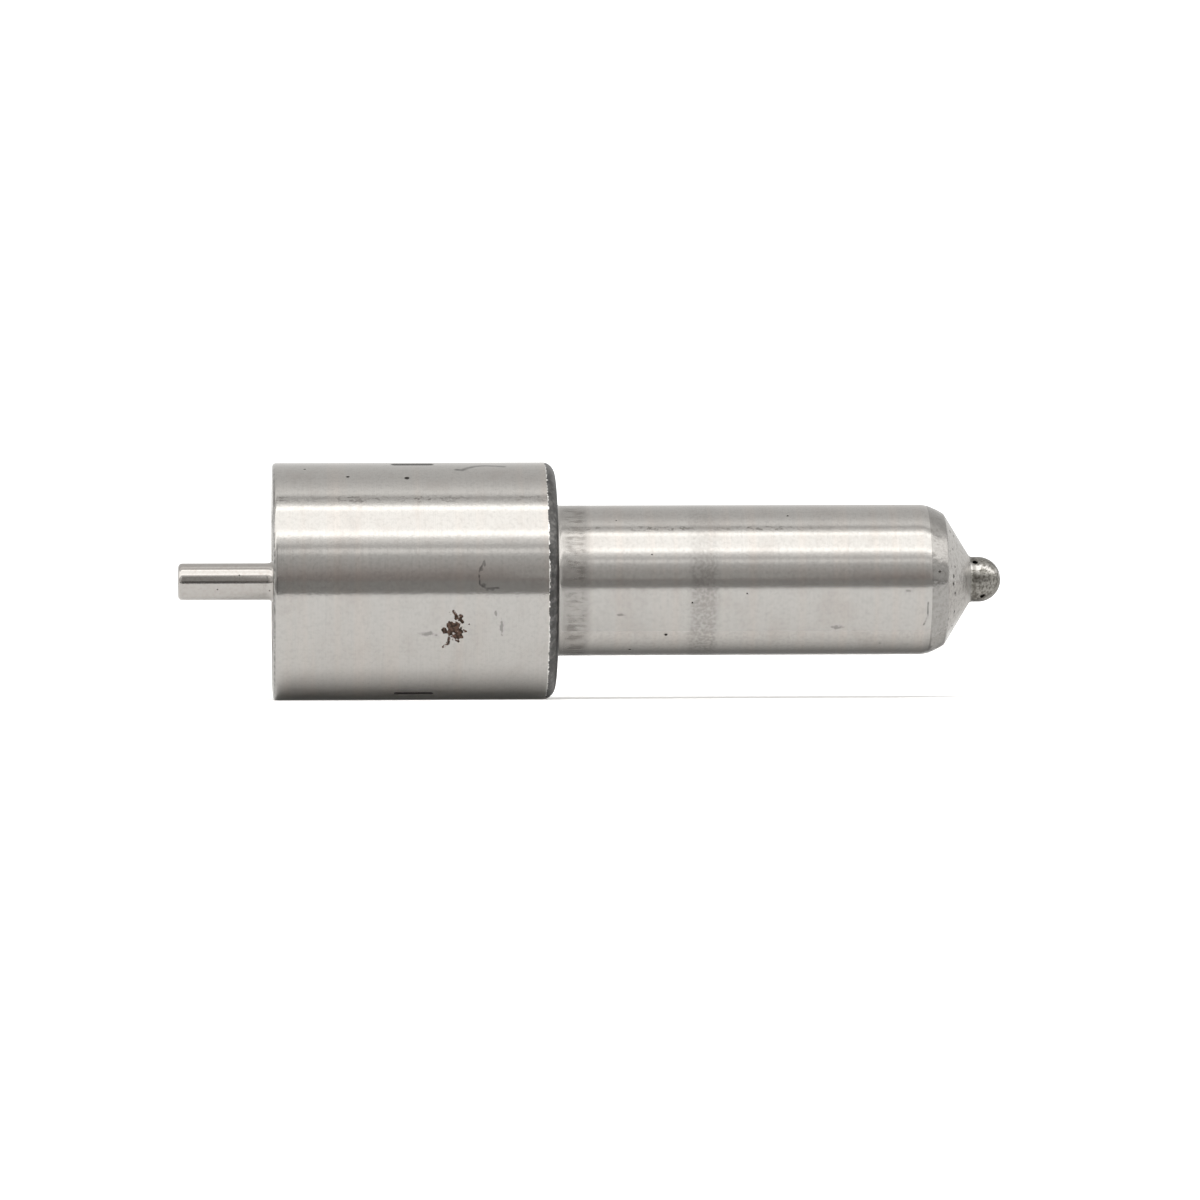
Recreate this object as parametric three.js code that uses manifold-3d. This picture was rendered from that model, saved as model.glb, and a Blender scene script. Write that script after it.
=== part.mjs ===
// Hole-type diesel injector nozzle of size S: a stepped round body and the needle valve lapped into it.
// Units are millimetres. Every axial place is measured from the body's sealing face towards the spray tip.
// The exported group then lies along +X, tail on the left and spray tip on the right, with its origin on
// the nozzle's axis, halfway between the needle's tail and the end of the spray tip.

import * as THREE from "three";
import { mergeVertices } from "three/addons/utils/BufferGeometryUtils.js";
import Module from "manifold-3d";

const wasm = await Module();
wasm.setup();

const degrees = THREE.MathUtils.degToRad;

// How finely round shapes are cut into flat faces.
const TURN_STEPS = 48;
const ARC_STEPS = 4;
const DOME_STEPS = 5;
const DRILL_STEPS = 16;
const SPRAY_STEPS = 12;

// Outside of the body.
const COLLAR_RADIUS = 8.5;
const COLLAR_LENGTH = 20.22;
const REAR_ROUND = 0.4;
const FRONT_ROUND = 0.95; // left as turned; grinding the collar trims its crest
const FRONT_ROUND_TRIM = 0.02;
const STEM_RADIUS = 5.4;
const STEM_FILLET = 0.4;
const STEM_END = 47.05;
const CHAMFER_CROWN = 0.055; // how far the chamfer swells beyond a straight one
const NOSE_START = 48.2;
const NOSE_START_RADIUS = 4.76;
const NOSE_HALF_ANGLE = degrees(58.5);
const TIP_RADIUS = 1.62;
const TIP_FILLET = 0.35;
const TIP_END = 52.36;

// Inside of the body.
const GUIDE_RADIUS = 3.0;
const GUIDE_CHAMFER = 0.25;
const GALLERY_START = 15.4;
const GALLERY_MIDDLE = 17.3;
const GALLERY_END = 20.9;
const GALLERY_RADIUS = 4.6;
const BORE_RADIUS = 2.6;
const SEAT_HALF_ANGLE = degrees(30);
const SAC_RADIUS = 0.6;
const SAC_START = 50.0;
const SAC_FLOOR = 51.3;

// Fuel ways and dowel holes in the sealing face.
const GROOVE_INNER = 4.2;
const GROOVE_OUTER = 5.7;
const GROOVE_DEPTH = 0.8;
const FEED_RADIUS = 0.7;
const FEED_COUNT = 3;
const FEED_START_RADIUS = (GROOVE_INNER + GROOVE_OUTER) / 2;
const FEED_END_RADIUS = 4.1;
const FEED_END = 17.4;
const DOWEL_RADIUS = 0.9;
const DOWEL_COUNT = 2;
const DOWEL_CIRCLE_RADIUS = 6.95;
const DOWEL_DEPTH = 4.5;
const DRILL_POINT = 0.5;

// Spray holes: a fan of four that leans, as on an injector that stands at an angle in its cylinder head.
const SPRAY_RADIUS = 0.19;
const SPRAY_HALF_CONE = degrees(75.5);
const SPRAY_LEAN = degrees(12);
const SPRAY_ORIGIN = 50.28;
const SPRAY_SPREAD = degrees(50.5); // each hole's turn above or below the level plane through the axis
const SPRAY_REACH = 2.4;

// The needle, closed on its seat.
const LIFT = 0.3;
const RUNNING_CLEARANCE = 0.02;
const TAIL_RADIUS = 1.33;
const TAIL_LENGTH = 6.74;
const TAIL_ROUND = 0.3;
const TAIL_FILLET = 0.7;
const STOP_CHAMFER = 0.25;
const LIFT_CONE_START = 15.7;
const LIFT_CONE_END = 17.4;
const SHAFT_RADIUS = 2.0;
const SEAT_LINE_RADIUS = 1.15;
const NEEDLE_TIP_HALF_ANGLE = degrees(48);
const NEEDLE_TIP_RADIUS = 0.25;

// Points of a circular arc round (centre, centreRadius), in (radius, axial place) order, angles from +radius.
function arc(centreRadius, centre, radius, from, to, steps = ARC_STEPS) {
  const points = [];
  for (let i = 0; i <= steps; i++) {
    const angle = from + ((to - from) * i) / steps;
    points.push([
      centreRadius + radius * Math.cos(angle),
      centre + radius * Math.sin(angle),
    ]);
  }
  return points;
}

// Points from one (radius, axial place) to another on a chord that swells outwards by the crown's height.
function crowned(from, to, crown) {
  const run = [to[0] - from[0], to[1] - from[1]];
  const length = Math.hypot(...run);
  const points = [];
  for (let i = 0; i <= ARC_STEPS; i++) {
    const share = i / ARC_STEPS;
    const swell = (4 * crown * share * (1 - share)) / length;
    points.push([
      from[0] + run[0] * share + run[1] * swell,
      from[1] + run[1] * share - run[0] * swell,
    ]);
  }
  return points;
}

// A solid of revolution about +Y from (radius, axial place) pairs that start and end on the axis.
function turned(profile) {
  const points = profile.map(([r, x]) => new THREE.Vector2(Math.max(r, 0), x));
  return new THREE.LatheGeometry(points, TURN_STEPS);
}

function solidOf(geometry) {
  const bare = geometry.clone();
  bare.deleteAttribute("normal");
  bare.deleteAttribute("uv");
  const merged = mergeVertices(bare, 1e-4);
  return new wasm.Manifold(
    new wasm.Mesh({
      numProp: 3,
      vertProperties: merged.attributes.position.array,
      triVerts: new Uint32Array(merged.index.array),
    }),
  );
}

function geometryOf(solid) {
  const mesh = solid.getMesh();
  const geometry = new THREE.BufferGeometry();
  geometry.setAttribute(
    "position",
    new THREE.BufferAttribute(mesh.vertProperties, 3),
  );
  geometry.setIndex(new THREE.BufferAttribute(mesh.triVerts, 1));
  geometry.computeVertexNormals();
  return geometry;
}

// A round cutter from one point to another, with a drill point of pointLength beyond its end.
function drill(radius, from, to, steps, pointLength = 0) {
  const along = new THREE.Vector3().subVectors(to, from);
  const length = along.length();
  const profile = [
    [0, 0],
    [radius, 0],
    [radius, length],
    [0, length + pointLength],
  ];
  const points = profile.map(([r, x]) => new THREE.Vector2(r, x));
  const geometry = new THREE.LatheGeometry(points, steps);
  const up = new THREE.Vector3(0, 1, 0);
  geometry.applyQuaternion(
    new THREE.Quaternion().setFromUnitVectors(up, along.normalize()),
  );
  geometry.translate(from.x, from.y, from.z);
  return solidOf(geometry);
}

// A place at an axial distance, a radius and a turn about the lathe axis. Turn 0 faces the world's -Y.
function place(axial, radius, turn) {
  return new THREE.Vector3(
    radius * Math.cos(turn),
    axial,
    radius * Math.sin(turn),
  );
}

// Body profile, from the sac's floor back along the bore, over the sealing face and out to the spray tip.
function bodyProfile() {
  const seatStart =
    SAC_START - (BORE_RADIUS - SAC_RADIUS) / Math.tan(SEAT_HALF_ANGLE);
  const noseDrop = NOSE_START_RADIUS - TIP_RADIUS;
  const noseEnd = NOSE_START + noseDrop / Math.tan(NOSE_HALF_ANGLE);
  // The fillet between the nose cone and the spray tip touches both, so its centre lies outside them.
  const filletTurn = Math.PI / 2 - NOSE_HALF_ANGLE;
  const filletCentre =
    noseEnd + TIP_FILLET * Math.tan((Math.PI / 2 - filletTurn) / 2);
  const roundStart = Math.acos(
    (FRONT_ROUND - FRONT_ROUND_TRIM) / FRONT_ROUND,
  );
  const galleryFront = GALLERY_END - GALLERY_MIDDLE;
  return [
    ...arc(0, SAC_FLOOR - SAC_RADIUS, SAC_RADIUS, Math.PI / 2, 0),
    [SAC_RADIUS, SAC_START],
    [BORE_RADIUS, seatStart],
    [BORE_RADIUS, GALLERY_END],
    ...gallery(BORE_RADIUS, GALLERY_END, -galleryFront).slice(1),
    ...gallery(GUIDE_RADIUS, GALLERY_START, GALLERY_MIDDLE - GALLERY_START)
      .reverse()
      .slice(1),
    [GUIDE_RADIUS, GUIDE_CHAMFER],
    [GUIDE_RADIUS + GUIDE_CHAMFER, 0],
    [GROOVE_INNER, 0],
    [GROOVE_INNER, GROOVE_DEPTH],
    [GROOVE_OUTER, GROOVE_DEPTH],
    [GROOVE_OUTER, 0],
    ...arc(
      COLLAR_RADIUS - REAR_ROUND,
      REAR_ROUND,
      REAR_ROUND,
      -Math.PI / 2,
      0,
    ),
    ...arc(
      COLLAR_RADIUS + FRONT_ROUND_TRIM - FRONT_ROUND,
      COLLAR_LENGTH - FRONT_ROUND,
      FRONT_ROUND,
      roundStart,
      Math.PI / 2,
    ),
    ...arc(
      STEM_RADIUS + STEM_FILLET,
      COLLAR_LENGTH + STEM_FILLET,
      STEM_FILLET,
      -Math.PI / 2,
      -Math.PI,
    ),
    ...crowned(
      [STEM_RADIUS, STEM_END],
      [NOSE_START_RADIUS, NOSE_START],
      CHAMFER_CROWN,
    ),
    ...arc(
      TIP_RADIUS + TIP_FILLET,
      filletCentre,
      TIP_FILLET,
      Math.PI + NOSE_HALF_ANGLE,
      Math.PI,
      ARC_STEPS,
    ),
    ...arc(0, TIP_END - TIP_RADIUS, TIP_RADIUS, 0, Math.PI / 2, DOME_STEPS),
  ];
}

// Half of the pressure gallery's onion shape, from a bore of this radius out to the gallery's widest ring.
function gallery(radius, start, run) {
  const points = [];
  for (let i = 0; i <= ARC_STEPS; i++) {
    const share = i / ARC_STEPS;
    const swell = Math.sin((share * Math.PI) / 2);
    points.push([radius + (GALLERY_RADIUS - radius) * swell, start + run * share]);
  }
  return points;
}

// Needle profile, from the end of the tail to the tip. It stands on its seat with the running clearance.
function needleProfile() {
  const guide = GUIDE_RADIUS - RUNNING_CLEARANCE;
  const seatGap = RUNNING_CLEARANCE / Math.cos(SEAT_HALF_ANGLE);
  const seatPlace = (radius) =>
    SAC_START - (radius + seatGap - SAC_RADIUS) / Math.tan(SEAT_HALF_ANGLE);
  const tipPlace =
    seatPlace(SEAT_LINE_RADIUS) +
    (SEAT_LINE_RADIUS - NEEDLE_TIP_RADIUS) / Math.tan(NEEDLE_TIP_HALF_ANGLE);
  return [
    [0, -TAIL_LENGTH],
    ...arc(
      TAIL_RADIUS - TAIL_ROUND,
      TAIL_ROUND - TAIL_LENGTH,
      TAIL_ROUND,
      -Math.PI / 2,
      0,
    ),
    ...arc(
      TAIL_RADIUS + TAIL_FILLET,
      LIFT - TAIL_FILLET,
      TAIL_FILLET,
      Math.PI,
      Math.PI / 2,
    ),
    [guide - STOP_CHAMFER, LIFT],
    [guide, LIFT + STOP_CHAMFER],
    [guide, LIFT_CONE_START],
    [SHAFT_RADIUS, LIFT_CONE_END],
    [SHAFT_RADIUS, seatPlace(SHAFT_RADIUS)],
    [SEAT_LINE_RADIUS, seatPlace(SEAT_LINE_RADIUS)],
    [NEEDLE_TIP_RADIUS, tipPlace],
    [0, tipPlace],
  ];
}

// Slanted ways that lead fuel from the groove in the sealing face down to the gallery.
function feedHoles() {
  const slope = (FEED_END_RADIUS - FEED_START_RADIUS) / FEED_END;
  const mouth = -1;
  return Array.from({ length: FEED_COUNT }, (_, i) => {
    const turn = Math.PI / 2 + (i * 2 * Math.PI) / FEED_COUNT;
    return drill(
      FEED_RADIUS,
      place(mouth, FEED_START_RADIUS + slope * mouth, turn),
      place(FEED_END, FEED_END_RADIUS, turn),
      DRILL_STEPS,
      DRILL_POINT,
    );
  });
}

// Blind holes for the two dowels that stop the nozzle turning against its holder.
function dowelHoles() {
  return Array.from({ length: DOWEL_COUNT }, (_, i) => {
    const turn = (i * 2 * Math.PI) / DOWEL_COUNT;
    return drill(
      DOWEL_RADIUS,
      place(-1, DOWEL_CIRCLE_RADIUS, turn),
      place(DOWEL_DEPTH, DOWEL_CIRCLE_RADIUS, turn),
      DRILL_STEPS,
      DRILL_POINT,
    );
  });
}

function sprayHoles() {
  const turns = [
    SPRAY_SPREAD,
    Math.PI - SPRAY_SPREAD,
    Math.PI + SPRAY_SPREAD,
    -SPRAY_SPREAD,
  ];
  return turns.map((turn) => {
    const lean = SPRAY_HALF_CONE + SPRAY_LEAN * Math.sin(turn);
    return drill(
      SPRAY_RADIUS,
      place(SPRAY_ORIGIN, 0, turn),
      place(
        SPRAY_ORIGIN + SPRAY_REACH * Math.cos(lean),
        SPRAY_REACH * Math.sin(lean),
        turn,
      ),
      SPRAY_STEPS,
    );
  });
}

function nozzleBody() {
  const cutters = [...feedHoles(), ...dowelHoles(), ...sprayHoles()];
  const blank = solidOf(turned(bodyProfile()));
  const material = new THREE.MeshStandardMaterial({
    color: 0xc2beb7,
    metalness: 1,
    roughness: 0.22,
  });
  const solid = cutters.reduce((rest, cutter) => rest.subtract(cutter), blank);
  const mesh = new THREE.Mesh(geometryOf(solid), material);
  mesh.name = "nozzle_body";
  return mesh;
}

function nozzleNeedle() {
  const material = new THREE.MeshStandardMaterial({
    color: 0xcac7c1,
    metalness: 1,
    roughness: 0.14,
  });
  const mesh = new THREE.Mesh(turned(needleProfile()), material);
  mesh.name = "nozzle_needle";
  return mesh;
}

// The lathe axis is +Y, so the pair is turned to lie along +X and moved to put its middle at the origin.
const nozzle = new THREE.Group();
nozzle.name = "injector_nozzle";
nozzle.add(nozzleBody(), nozzleNeedle());
nozzle.rotation.z = -Math.PI / 2;
nozzle.position.x = -(TIP_END - TAIL_LENGTH) / 2;

const part = new THREE.Group();
part.add(nozzle);

export default part;
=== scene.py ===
"""Looks of a diesel injector nozzle: a ground steel body and the lapped needle whose tail stands out of it.

Lengths named here are in millimetres, measured along the nozzle's axis from the body's sealing face towards
the spray tip. Turns round the axis are in degrees, 0 towards the camera (-Y) and 90 straight up.
"""

import math

import bmesh
import bpy
from mathutils import Matrix, Vector

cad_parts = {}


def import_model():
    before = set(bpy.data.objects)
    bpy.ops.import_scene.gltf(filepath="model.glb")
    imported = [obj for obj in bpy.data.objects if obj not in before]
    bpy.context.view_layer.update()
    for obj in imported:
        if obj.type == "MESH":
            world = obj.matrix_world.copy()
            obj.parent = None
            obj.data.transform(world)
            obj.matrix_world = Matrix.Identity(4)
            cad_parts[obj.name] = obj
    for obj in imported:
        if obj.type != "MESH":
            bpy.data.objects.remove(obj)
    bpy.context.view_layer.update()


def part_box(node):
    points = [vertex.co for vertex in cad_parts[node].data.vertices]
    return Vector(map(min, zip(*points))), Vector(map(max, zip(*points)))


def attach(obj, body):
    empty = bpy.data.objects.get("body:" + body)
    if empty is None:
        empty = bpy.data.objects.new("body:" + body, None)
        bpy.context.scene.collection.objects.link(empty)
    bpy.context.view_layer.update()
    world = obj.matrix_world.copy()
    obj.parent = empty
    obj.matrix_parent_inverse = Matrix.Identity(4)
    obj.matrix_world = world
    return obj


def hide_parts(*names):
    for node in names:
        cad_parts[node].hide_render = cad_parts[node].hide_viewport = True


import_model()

MM = 0.001
BODY_LOW, BODY_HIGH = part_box("nozzle_body")
NEEDLE_LOW, NEEDLE_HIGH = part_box("nozzle_needle")
SEALING_FACE = BODY_LOW.x
FLOOR_Z = BODY_LOW.z

# Sizes that the frame gives.
TIP_END = (BODY_HIGH.x - SEALING_FACE) / MM
TAIL_LENGTH = (SEALING_FACE - NEEDLE_LOW.x) / MM
COLLAR_RADIUS = BODY_HIGH.z / MM
GUIDE_RADIUS = NEEDLE_HIGH.z / MM

# Outside of the body.
COLLAR_LENGTH = 20.22
REAR_ROUND = 0.28
FRONT_ROUND = 0.95
FRONT_ROUND_TRIM = 0.02
STEM_RADIUS = 5.4
STEM_FILLET = 0.4
STEM_END = 47.05
STEM_ROLL_START = 46.6  # from here to its end the stem rolls off towards the chamfer
STEM_ROLL_DROP = 0.09
STEM_ROLL_ROUND = 2.0
CHAMFER_CROWN = 0.03
CHAMFER_START_ROUND = 1.0
CHAMFER_END_ROUND = 0.5
NOSE_START = 48.2
NOSE_START_RADIUS = 4.76
NOSE_HALF_ANGLE = math.radians(58.5)
TIP_RADIUS = 1.62
TIP_ROOT = NOSE_START + (NOSE_START_RADIUS - TIP_RADIUS) / math.tan(NOSE_HALF_ANGLE)
TIP_FILLET = 0.35

# Inside of the body.
BORE_CLEARANCE = 0.02
GUIDE_CHAMFER = 0.25
GALLERY_START = 15.4
GALLERY_MIDDLE = 17.3
GALLERY_END = 20.9
GALLERY_RADIUS = 4.6
BORE_RADIUS = 2.6
SEAT_HALF_ANGLE = math.radians(30)
SEAT_ROUND = 0.3
SAC_RADIUS = 0.6
SAC_START = 50.0
SAC_FLOOR = 51.3
SAC_ROUND = 0.1

# Fuel ways, dowel holes and spray holes.
GROOVE_INNER = 4.2
GROOVE_OUTER = 5.7
GROOVE_DEPTH = 0.8
GROOVE_ROUND = 0.12
FEED_RADIUS = 0.7
FEED_COUNT = 3
FEED_START_RADIUS = (GROOVE_INNER + GROOVE_OUTER) / 2
FEED_END_RADIUS = 4.1
FEED_END = 17.4
DOWEL_RADIUS = 0.9
DOWEL_COUNT = 2
DOWEL_CIRCLE_RADIUS = 6.95
DOWEL_DEPTH = 4.5
DOWEL_FLARE = 0.15
DRILL_POINT = 0.4
DRILL_POINT_RADIUS = 0.05
SPRAY_RADIUS = 0.19
SPRAY_FLARE = 0.04
SPRAY_HALF_CONE = math.radians(75.5)
SPRAY_LEAN = math.radians(12)
SPRAY_ORIGIN = 50.28
SPRAY_SPREAD = math.radians(50.5)

# The needle, closed on its seat.
LIFT = 0.3
TAIL_RADIUS = 1.33
TAIL_ROUND = 0.3
TAIL_FILLET = 0.7
STOP_CHAMFER = 0.25
LIFT_CONE_START = 15.7
LIFT_CONE_END = 17.4
SHAFT_RADIUS = 2.0
SEAT_LINE_RADIUS = 1.15
NEEDLE_TIP_HALF_ANGLE = math.radians(48)
NEEDLE_TIP_RADIUS = 0.25

# How finely the pieces are cut.
TURN_STEPS = 256
HOLE_STEPS = 48
ROUND_STEPS = 6
DOME_STEPS = 28
EDGE_BREAK = 0.04
SUPPORT = 0.02  # rings this far from each rounded edge keep the flats beside it flat
ON_AXIS = 1e-6  # a smaller radius than this is on the axis
TOOL_START = 1.0  # tools begin this far outside the sealing face
SPRAY_TOOL_END = 0.5  # and end this far outside the dome
SHARP_ANGLE = math.radians(35)


# ---------------------------------------------------------------- outlines and meshes


def arc(centre, radius, start, end, steps):
    """Points of an arc round (axial place, radius), with angles in degrees from the axis."""
    points = []
    for step in range(steps + 1):
        angle = math.radians(start + (end - start) * step / steps)
        points.append(Vector((centre[0] + radius * math.cos(angle), centre[1] + radius * math.sin(angle))))
    return points


def rounded_corner(before, corner, after, radius):
    """The arc that rounds a corner between two straight lines, with a support point at each end."""
    to_before = (before - corner).normalized()
    to_after = (after - corner).normalized()
    half = to_before.angle(to_after) / 2
    reach = radius / math.tan(half)
    centre = corner + (to_before + to_after).normalized() * (radius / math.sin(half))
    first = corner + to_before * reach - centre
    last = corner + to_after * reach - centre
    points = [corner + to_before * (reach + SUPPORT)]
    for step in range(ROUND_STEPS + 1):
        points.append(centre + first.slerp(last, step / ROUND_STEPS) * radius)
    points.append(corner + to_after * (reach + SUPPORT))
    return points


def crowned(start, end, crown):
    """Points from start to end on a chord that swells outwards by the crown's height."""
    start = Vector(start)
    run = Vector(end) - start
    outwards = Vector((-run.y, run.x)).normalized()
    points = []
    for step in range(ROUND_STEPS + 1):
        share = step / ROUND_STEPS
        points.append(start + run * share + outwards * (4 * crown * share * (1 - share)))
    return points


def outline(stretches):
    """(place, zone) for each point of an outline, from stretches of corners and arcs.

    A stretch is (zone, points, rounding): the points, and the radius that rounds each of them, 0 to leave
    them as they are. The zone names the surface that starts at each point.
    """
    corners = [(Vector(point), radius, zone) for zone, points, radius in stretches for point in points]
    result = []
    for index, (corner, radius, zone) in enumerate(corners):
        if not radius:
            result.append((corner, zone))
            continue
        before = corners[index - 1][0]
        after = corners[index + 1][0]
        result += [(point, zone) for point in rounded_corner(before, corner, after, radius)]
    return result


def added(name, data):
    """A new object in the scene."""
    thing = bpy.data.objects.new(name, data)
    bpy.context.scene.collection.objects.link(thing)
    return thing


def place(axial, radius, turn):
    """The point in the frame at an axial place, a radius and a turn in radians."""
    x = SEALING_FACE + axial * MM
    return Vector((x, -radius * MM * math.cos(turn), radius * MM * math.sin(turn)))


def turned(name, points, materials):
    """A closed piece of revolution from an outline that starts and ends on the axis.

    The materials are given by zone, and each zone of the outline gets its own.
    """
    zones = list(materials)
    mesh = bpy.data.meshes.new(name)
    work = bmesh.new()
    rings = []
    for point, _zone in points:
        if point.y < ON_AXIS:
            rings.append([work.verts.new(place(point.x, 0, 0))])
            continue
        turns = [2 * math.pi * step / TURN_STEPS for step in range(TURN_STEPS)]
        rings.append([work.verts.new(place(point.x, point.y, turn)) for turn in turns])
    for (ring, after), (_point, zone) in zip(zip(rings, rings[1:]), points):
        for step in range(TURN_STEPS):
            following = (step + 1) % TURN_STEPS
            corners = [ring[step % len(ring)], ring[following % len(ring)]]
            corners += [after[following % len(after)], after[step % len(after)]]
            face = work.faces.new(list(dict.fromkeys(corners)))
            face.material_index = zones.index(zone)
            face.smooth = True
    bmesh.ops.recalc_face_normals(work, faces=work.faces[:])
    work.to_mesh(mesh)
    work.free()
    for material in materials.values():
        mesh.materials.append(material)
    return added(name, mesh)


def cutter(start, end, profile, steps):
    """A closed round tool along a line. Its profile gives (distance from start, radius) in millimetres."""
    along = end - start
    facing = along.to_track_quat("Z", "Y").to_matrix().to_4x4()
    spot = Matrix.Translation(start) @ facing
    work = bmesh.new()
    rings = []
    for distance, radius in profile:
        ring = []
        for step in range(steps):
            turn = 2 * math.pi * step / steps
            point = Vector((radius * math.cos(turn), radius * math.sin(turn), distance)) * MM
            ring.append(work.verts.new(spot @ point))
        rings.append(ring)
    for ring, after in zip(rings, rings[1:]):
        for step in range(steps):
            following = (step + 1) % steps
            work.faces.new((ring[step], ring[following], after[following], after[step]))
    work.faces.new(rings[0])
    work.faces.new(rings[-1])
    for face in work.faces:
        face.smooth = True
    bmesh.ops.recalc_face_normals(work, faces=work.faces[:])
    mesh = bpy.data.meshes.new("cutter")
    work.to_mesh(mesh)
    work.free()
    return mesh


def cut(piece, meshes, material):
    """Cuts the tools out of the piece. The new walls take the material."""
    joined = bmesh.new()
    for mesh in meshes:
        joined.from_mesh(mesh)
        bpy.data.meshes.remove(mesh)
    tool_mesh = bpy.data.meshes.new("tool")
    joined.to_mesh(tool_mesh)
    joined.free()
    tool_mesh.materials.append(material)
    tool = added("tool", tool_mesh)
    modifier = piece.modifiers.new("holes", "BOOLEAN")
    modifier.operation = "DIFFERENCE"
    modifier.solver = "EXACT"
    modifier.material_mode = "TRANSFER"
    modifier.object = tool
    bpy.context.view_layer.update()
    evaluated = piece.evaluated_get(bpy.context.evaluated_depsgraph_get())
    result = bpy.data.meshes.new_from_object(evaluated)
    piece.modifiers.clear()
    old = piece.data
    piece.data = result
    bpy.data.meshes.remove(old)
    bpy.data.objects.remove(tool)
    bpy.data.meshes.remove(tool_mesh)


# ---------------------------------------------------------------- the two pieces


def body_outline():
    """From the sac back through the bore, out over the sealing face and forward to the spray tip."""
    seat_start = SAC_START - (BORE_RADIUS - SAC_RADIUS) / math.tan(SEAT_HALF_ANGLE)
    guide = GUIDE_RADIUS + BORE_CLEARANCE
    round_centre = (COLLAR_LENGTH - FRONT_ROUND, COLLAR_RADIUS + FRONT_ROUND_TRIM - FRONT_ROUND)
    round_start = math.degrees(math.acos((FRONT_ROUND - FRONT_ROUND_TRIM) / FRONT_ROUND))
    front_round = arc(round_centre, FRONT_ROUND, 90 - round_start, 0, 2 * ROUND_STEPS)
    ground_end = front_round[0] - Vector((SUPPORT, 0))
    chamfer_start = (STEM_END, STEM_RADIUS - STEM_ROLL_DROP)
    chamfer = crowned(chamfer_start, (NOSE_START, NOSE_START_RADIUS), CHAMFER_CROWN)
    sac = arc((SAC_FLOOR - SAC_RADIUS, 0), SAC_RADIUS, 0, 90, ROUND_STEPS)
    dome = arc((TIP_END - TIP_RADIUS, 0), TIP_RADIUS, 90, 0, DOME_STEPS)
    return outline(
        [
            ("bore", sac, 0),
            ("bore", [(SAC_START, SAC_RADIUS)], SAC_ROUND),
            ("bore", [(seat_start, BORE_RADIUS)], SEAT_ROUND),
            ("bore", gallery_outline(guide), 0),
            ("bore", [(GUIDE_CHAMFER, guide)], EDGE_BREAK),
            ("lapped", [(0, guide + GUIDE_CHAMFER)], EDGE_BREAK),
            ("bore", [(0, GROOVE_INNER)], EDGE_BREAK),
            ("bore", [(GROOVE_DEPTH, GROOVE_INNER)], GROOVE_ROUND),
            ("bore", [(GROOVE_DEPTH, GROOVE_OUTER)], GROOVE_ROUND),
            ("lapped", [(0, GROOVE_OUTER)], EDGE_BREAK),
            ("ground", [(0, COLLAR_RADIUS)], REAR_ROUND),
            ("ground", [ground_end], 0),
            ("edge", front_round, 0),
            ("ground", [(COLLAR_LENGTH, STEM_RADIUS)], STEM_FILLET),
            ("ground", [(STEM_ROLL_START, STEM_RADIUS)], STEM_ROLL_ROUND),
            ("nose", chamfer[:1], CHAMFER_START_ROUND),
            ("nose", chamfer[1:-1], 0),
            ("nose", chamfer[-1:], CHAMFER_END_ROUND),
            ("tip", [(TIP_ROOT, TIP_RADIUS)], TIP_FILLET),
            ("tip", dome, 0),
        ]
    )


def gallery_outline(guide):
    """The pressure gallery's onion shape, from the stem bore back to the guide bore."""
    points = []
    for step in range(2 * ROUND_STEPS + 1):
        share = step / (2 * ROUND_STEPS)
        swell = math.sin(share * math.pi / 2)
        axial = GALLERY_END + (GALLERY_MIDDLE - GALLERY_END) * share
        points.append((axial, BORE_RADIUS + (GALLERY_RADIUS - BORE_RADIUS) * swell))
    for step in range(1, 2 * ROUND_STEPS + 1):
        share = 1 - step / (2 * ROUND_STEPS)
        swell = math.sin(share * math.pi / 2)
        axial = GALLERY_START + (GALLERY_MIDDLE - GALLERY_START) * share
        points.append((axial, guide + (GALLERY_RADIUS - guide) * swell))
    return points


def feed_cutters():
    """Slanted holes from the fuel groove to the gallery."""
    slope = (FEED_END_RADIUS - FEED_START_RADIUS) / FEED_END
    tools = []
    for index in range(FEED_COUNT):
        turn = math.pi / 2 + index * 2 * math.pi / FEED_COUNT
        start = place(-TOOL_START, FEED_START_RADIUS - slope * TOOL_START, turn)
        end = place(FEED_END, FEED_END_RADIUS, turn)
        length = (end - start).length / MM
        point = (length + DRILL_POINT, DRILL_POINT_RADIUS)
        profile = [(0, FEED_RADIUS), (length, FEED_RADIUS), point]
        tools.append(cutter(start, end, profile, HOLE_STEPS))
    return tools


def dowel_cutters():
    """Blind dowel holes, each with a flared mouth."""
    mouth = TOOL_START + DOWEL_FLARE
    bottom = TOOL_START + DOWEL_DEPTH
    tools = []
    for index in range(DOWEL_COUNT):
        turn = index * 2 * math.pi / DOWEL_COUNT
        start = place(-TOOL_START, DOWEL_CIRCLE_RADIUS, turn)
        end = place(DOWEL_DEPTH, DOWEL_CIRCLE_RADIUS, turn)
        profile = [
            (0, DOWEL_RADIUS + DOWEL_FLARE),
            (TOOL_START, DOWEL_RADIUS + DOWEL_FLARE),
            (mouth, DOWEL_RADIUS),
            (bottom, DOWEL_RADIUS),
            (bottom + DRILL_POINT, DRILL_POINT_RADIUS),
        ]
        tools.append(cutter(start, end, profile, HOLE_STEPS))
    return tools


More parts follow.
